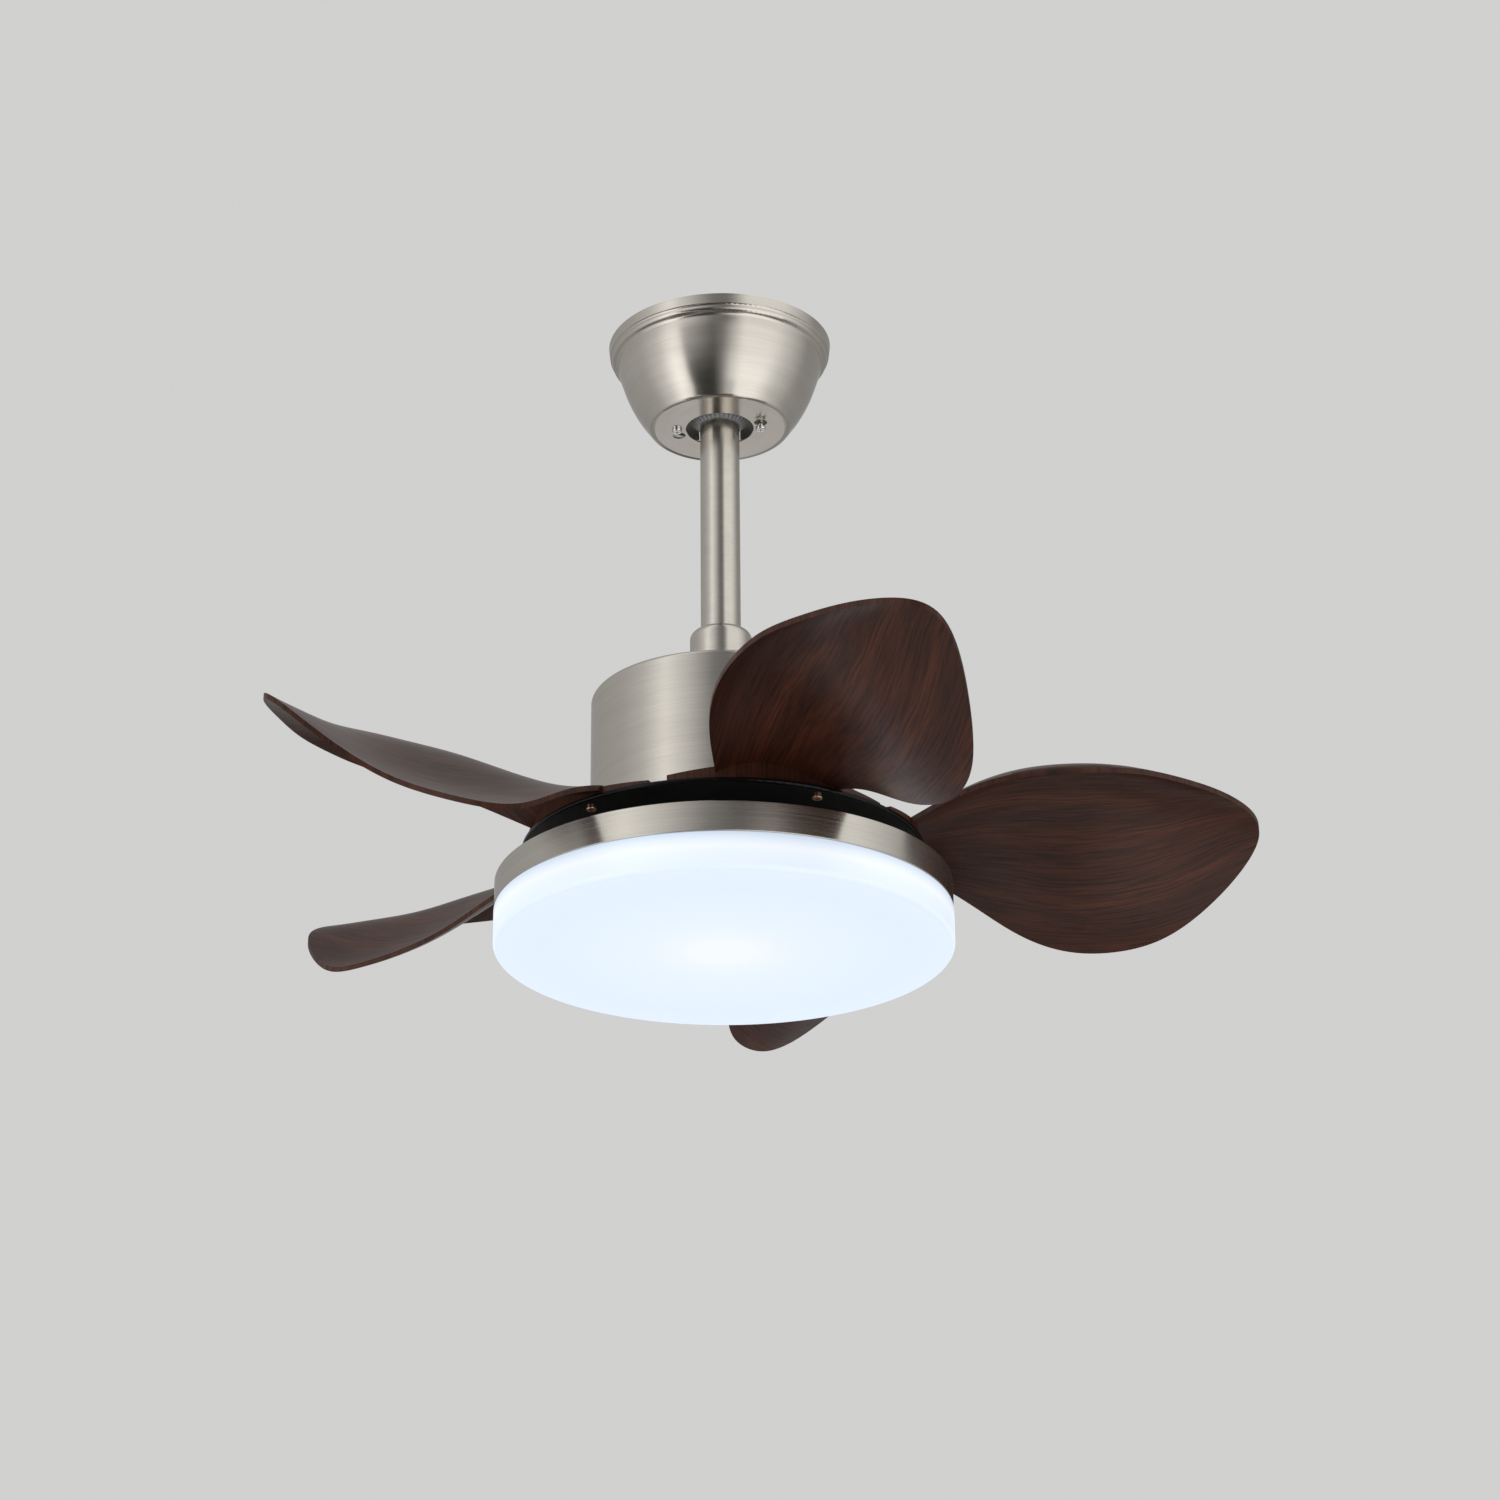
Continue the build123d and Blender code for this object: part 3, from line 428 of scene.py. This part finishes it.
def walnut(name):
    """Dark walnut veneer: fibres along the blade, wandering a little, under satin lacquer."""
    net = Net(name)
    uv = net.node("ShaderNodeUVMap", uv_map="grain").outputs[0]
    along, side, _ = net.split(uv)
    slow = net.join(net.math("MULTIPLY", along, 7.0), net.math("MULTIPLY", side, 12.0), 0.0)
    wander = net.noise(slow, 1.0, 2.0)
    drift = net.math("ADD", side, net.math("MULTIPLY", net.math("SUBTRACT", wander, 0.5), 0.014))
    arc = net.math("MULTIPLY", net.math("POWER", net.math("SUBTRACT", along, 0.12), 2.0), 0.22)
    drift = net.math("ADD", drift, arc)

    def fibres(length, width, detail=3.0):
        """Noise drawn out along the blade."""
        stretched = net.join(net.math("MULTIPLY", along, length), net.math("MULTIPLY", drift, width), 0.0)
        return net.noise(stretched, 1.0, detail, 0.55)

    bands = fibres(6.0, 70.0, 3.0)
    streaks = fibres(26.0, 620.0, 4.0)
    pores = fibres(85.0, 2100.0, 2.0)
    ground = net.ramp(
        bands,
        (0.30, (0.034, 0.0094, 0.0045)),
        (0.52, (0.053, 0.0140, 0.0063)),
        (0.74, (0.078, 0.0205, 0.0088)),
    )
    dark_streak = net.spread(streaks, 0.38, 0.60, 0.50, 1.14)
    shaded = net.mix(1.0, ground, net.join(dark_streak, dark_streak, dark_streak), "MULTIPLY")
    pore = net.spread(pores, 0.34, 0.50, 0.74, 1.0)
    net.set(Base_Color=net.mix(1.0, shaded, net.join(pore, pore, pore), "MULTIPLY"))
    net.set(Roughness=net.spread(streaks, 0.3, 0.7, 0.44, 0.37), Coat_Weight=0.03, Coat_Roughness=0.30)
    net.set(Specular_IOR_Level=0.28)
    net.bump(net.math("ADD", pores, net.math("MULTIPLY", streaks, 0.6)), 0.12, 0.00025)
    return net.material


def opal(name):
    """Lit opal plastic: hot under the ring and over the lamp's middle."""
    net = Net(name)
    low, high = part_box("diffuser")
    ring_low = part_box("trim_ring")[0].z
    x, y, z = net.split(net.place())
    radius = net.math("SQRT", net.math("ADD", net.math("MULTIPLY", x, x), net.math("MULTIPLY", y, y)))
    share = net.math("DIVIDE", radius, high.x)
    floor = net.ramp(
        share,
        (0.0, (0.88, 0.92, 1.0)),
        (0.12, (0.86, 0.91, 1.0)),
        (0.30, (0.77, 0.86, 0.99)),
        (0.42, (0.735, 0.84, 0.985)),
        (0.80, (0.70, 0.815, 0.965)),
        (1.0, (0.72, 0.83, 0.975)),
    )
    fall = net.spread(z, low.z, ring_low, 0.0, 1.0)
    side = net.ramp(
        fall,
        (0.0, (0.74, 0.845, 0.98)),
        (0.45, (0.80, 0.885, 1.0)),
        (0.62, (0.88, 0.93, 1.0)),
        (0.80, (0.74, 0.83, 0.95)),
        (0.95, (0.58, 0.68, 0.83)),
        (1.0, (0.50, 0.60, 0.74)),
    )
    edge = net.spread(share, 0.975, 0.992, 0.0, 1.0)
    speckle = net.noise(net.place(), 600.0, 2.0)
    glow = net.mix(edge, floor, side)
    net.set(Base_Color=net.ramp(speckle, (0.3, (0.24, 0.25, 0.26)), (0.7, (0.26, 0.27, 0.28))))
    net.set(Roughness=net.spread(speckle, 0.3, 0.7, 0.32, 0.40))
    net.set(Emission_Color=glow, Emission_Strength=OPAL_STRENGTH)
    net.bump(speckle, 0.02, 0.0001)
    return net.material


def led(name):
    """Lit phosphor package."""
    net = Net(name)
    grain = net.noise(net.place(), 900.0, 2.0)
    net.set(Base_Color=net.ramp(grain, (0.3, (0.90, 0.85, 0.60)), (0.7, (0.98, 0.95, 0.75))))
    net.set(Roughness=0.4, Emission_Color=(1.0, 0.95, 0.85, 1.0), Emission_Strength=2.0)
    return net.material


def windings(name):
    """Turns of enamelled copper winding, with painted shade darkening the colour in the grooves between the
    turns.
    """
    net = Net(name)
    x, y, z = net.split(net.place())
    radius = net.math("SQRT", net.math("ADD", net.math("MULTIPLY", x, x), net.math("MULTIPLY", y, y)))
    turns = net.math("SINE", net.math("MULTIPLY", radius, WIRE_TURNS))
    # Painted shade: this value darkens the copper colour in the grooves between turns.
    painted_turn_shade = net.math("MULTIPLY_ADD", turns, 0.5, 0.5)
    net.set(Base_Color=net.ramp(painted_turn_shade, (0.1, (0.22, 0.07, 0.02)), (0.9, (0.72, 0.30, 0.12))))
    net.set(Metallic=0.85, Roughness=0.35)
    net.bump(turns, 0.5, 0.0004)
    return net.material


def make_materials():
    """One material for every slot in the record."""
    return {
        "brushed_nickel": brushed_metal("brushed_nickel", NICKEL, rough=0.23, lines=0.35),
        "ring_nickel": brushed_metal("ring_nickel", NICKEL, rough=0.25, lines=0.5),
        "zinc_steel": plain_metal("zinc_steel", (0.56, 0.56, 0.57), 0.34),
        "bearing_steel": plain_metal("bearing_steel", (0.68, 0.68, 0.70), 0.18, mottle=0.03),
        "chrome_screw": plain_metal("chrome_screw", (0.74, 0.74, 0.75), 0.16, mottle=0.04, scale=500.0),
        "brass_screw": plain_metal("brass_screw", (0.72, 0.54, 0.22), 0.28),
        "copper_screw": plain_metal("copper_screw", (0.80, 0.50, 0.36), 0.24, mottle=0.10, scale=500.0),
        "copper_winding": windings("copper_winding"),
        "cast_aluminium": plain_metal("cast_aluminium", (0.60, 0.60, 0.61), 0.48, mottle=0.10, scale=420.0),
        "laminations": plain_metal("laminations", (0.16, 0.16, 0.17), 0.5, 0.8, mottle=0.12),
        "gloss_black": gloss_black("gloss_black"),
        "white_metal": plain_metal("white_metal", (0.78, 0.78, 0.77), 0.45, 0.0, mottle=0.03, scale=320.0),
        "walnut": walnut("walnut"),
        "opal_diffuser": opal("opal_diffuser"),
        "led_emitter": led("led_emitter"),
        "black_plastic": plastic("black_plastic", (0.018, 0.018, 0.019), 0.42),
        "white_plastic": plastic("white_plastic", (0.74, 0.74, 0.72), 0.4),
        "board_green": plastic("board_green", (0.02, 0.13, 0.05), 0.3, mottle=0.15),
        "grey_rubber": plastic("grey_rubber", (0.30, 0.30, 0.31), 0.34, mottle=0.12),
        "lead_sheath": plastic("lead_sheath", (0.05, 0.05, 0.05), 0.5),
    }


def paint_nodes(materials):
    """Put each CAD node's slot material on it."""
    for entry in frame["record"]["subparts"]:
        piece = frame["nodes"][entry["node"]]
        material = materials[entry["material_slot"]]
        if not piece.material_slots:
            piece.data.materials.append(material)
        for held in piece.material_slots:
            held.material = material


# ------------------------------------------------------------------ studio
FLOOR_HALF = 40.0
FLOOR_LEVEL = -3.0
BACKDROP = (0.635, 0.635, 0.630, 1)
# Heights of the surroundings, as the up part of a direction, between which the
# lower band gives way to the upper one.
BAND_CHANGE = (-0.45, 0.20)
LIGHT_AIM = (0, 0, -0.35)
LENS = 84.086
SHIFT = (0.22449, 0.00861)
EYE = (0.0, -2.522837, -1.445067)
LOOKS_ALONG = (-0.08768, 0.916113, 0.391215)
LOOKS_RIGHT = (0.996132, 0.082903, 0.029121)


def add_floor():
    """A plain pale floor well under the fan."""
    mesh = bmesh.new()
    signs = ((-1, -1), (1, -1), (1, 1), (-1, 1))
    corners = [mesh.verts.new((x * FLOOR_HALF, y * FLOOR_HALF, FLOOR_LEVEL)) for x, y in signs]
    mesh.faces.new(corners)
    bmesh.ops.subdivide_edges(mesh, edges=mesh.edges, cuts=6, use_grid_fill=True)
    data = bpy.data.meshes.new("studio_floor")
    mesh.to_mesh(data)
    mesh.free()
    net = Net("studio_floor")
    wash = net.noise(net.place(), 1.5, 2.0)
    net.set(Base_Color=net.ramp(wash, (0.3, grey(0.79)), (0.7, grey(0.82))), Roughness=0.8)
    data.materials.append(net.material)
    floor = bpy.data.objects.new("studio_floor", data)
    bpy.context.scene.collection.objects.link(floor)
    floor.visible_glossy = False


# Brightness round the studio seen by shiny metal, from behind the fan by the
# left, the front (0.5) and the right to behind again.
WORLD_ABOVE = (
    (0.00, 0.80),
    (0.05, 0.36),
    (0.23, 0.52),
    (0.30, 0.70),
    (0.36, 1.20),
    (0.42, 0.78),
    (0.48, 0.28),
    (0.525, 0.18),
    (0.545, 0.40),
    (0.575, 1.05),
    (0.69, 1.05),
    (0.81, 0.36),
    (0.95, 0.34),
    (1.00, 0.80),
)
WORLD_BELOW = (
    (0.00, 0.70),
    (0.05, 0.28),
    (0.22, 0.52),
    (0.29, 1.00),
    (0.34, 1.75),
    (0.375, 1.45),
    (0.388, 0.05),
    (0.480, 0.04),
    (0.510, 0.30),
    (0.54, 1.05),
    (0.58, 1.45),
    (0.665, 1.45),
    (0.73, 0.80),
    (0.81, 0.44),
    (0.95, 0.28),
    (1.00, 0.70),
)


def add_band(tree, share, stops):
    """Colour ramp over the share of a turn."""
    room = tree.nodes.new("ShaderNodeValToRGB")
    elements = room.color_ramp.elements
    while len(elements) < len(stops):
        elements.new(0.5)
    for element, (place, value) in zip(elements, stops):
        element.position = place
        element.color = (value, value, value * 0.985, 1)
    tree.links.new(share, room.inputs["Fac"])
    return room.outputs["Color"]


def add_world():
    """Pale surroundings; shiny metal also sees a dark doorway between two bright windows."""
    world = bpy.data.worlds.new("studio")
    bpy.context.scene.world = world
    world.use_nodes = True
    tree = world.node_tree
    tree.nodes.clear()

    def node(kind, **settings):
        made = tree.nodes.new(kind)
        for key, value in settings.items():
            setattr(made, key, value)
        return made

    def link(source, target):
        tree.links.new(source, target)

    where = node("ShaderNodeTexCoord")
    parts = node("ShaderNodeSeparateXYZ")
    link(where.outputs["Generated"], parts.inputs[0])
    back = node("ShaderNodeMath", operation="MULTIPLY")
    back.inputs[1].default_value = -1.0
    link(parts.outputs["Y"], back.inputs[0])
    turn = node("ShaderNodeMath", operation="ARCTAN2")
    link(parts.outputs["X"], turn.inputs[0])
    link(back.outputs[0], turn.inputs[1])
    share = node("ShaderNodeMapRange")
    share.inputs[1].default_value = -math.pi
    share.inputs[2].default_value = math.pi
    link(turn.outputs[0], share.inputs[0])
    above = add_band(tree, share.outputs[0], WORLD_ABOVE)
    below = add_band(tree, share.outputs[0], WORLD_BELOW)
    climb = node("ShaderNodeMapRange")
    climb.inputs[1].default_value, climb.inputs[2].default_value = BAND_CHANGE
    link(parts.outputs["Z"], climb.inputs[0])
    room = node("ShaderNodeMix", data_type="RGBA")
    link(climb.outputs[0], room.inputs[0])
    link(below, room.inputs[6])
    link(above, room.inputs[7])
    lit = node("ShaderNodeBackground")
    link(room.outputs[2], lit.inputs["Color"])
    plain = node("ShaderNodeBackground")
    plain.inputs["Color"].default_value = BACKDROP
    seen = node("ShaderNodeLightPath")
    choose = node("ShaderNodeMixShader")
    link(seen.outputs["Is Camera Ray"], choose.inputs[0])
    link(lit.outputs[0], choose.inputs[1])
    link(plain.outputs[0], choose.inputs[2])
    out = node("ShaderNodeOutputWorld")
    link(choose.outputs[0], out.inputs["Surface"])


def add_light(name, place, size, power, colour=(1.0, 1.0, 1.0)):
    """A soft panel that faces the fan's middle."""
    data = bpy.data.lights.new(name, "AREA")
    data.shape = "RECTANGLE"
    data.size, data.size_y = size
    data.energy = power
    data.color = colour
    light = bpy.data.objects.new(name, data)
    light.visible_glossy = False
    light.location = place
    aim = Vector(LIGHT_AIM) - light.location
    light.rotation_euler = aim.to_track_quat("-Z", "Y").to_euler()
    bpy.context.scene.collection.objects.link(light)


def add_camera():
    """Camera under the fan, in front, looking up; the framing is off the lens axis."""
    data = bpy.data.cameras.new("camera")
    data.sensor_width = 36.0
    data.lens = LENS
    data.shift_x, data.shift_y = SHIFT
    data.clip_end = 60.0
    forward = Vector(LOOKS_ALONG).normalized()
    right = Vector(LOOKS_RIGHT).normalized()
    up = right.cross(forward).normalized()
    camera = bpy.data.objects.new("camera", data)
    turn = Matrix((right, up, -forward)).transposed().to_4x4()
    camera.matrix_world = Matrix.Translation(EYE) @ turn
    bpy.context.scene.collection.objects.link(camera)
    bpy.context.scene.camera = camera


# ------------------------------------------------------------------ scene
materials = make_materials()
paint_nodes(materials)
add_blades(materials["walnut"])
add_floor()
add_world()
add_light("window_left", (-2.4, -1.6, -0.7), (1.6, 2.2), 34.0, (0.97, 0.985, 1.0))
add_light("window_right", (2.6, -1.2, -0.9), (1.4, 2.0), 26.0, (1.0, 0.985, 0.96))
add_camera()
bpy.context.scene.view_settings.view_transform = "Standard"
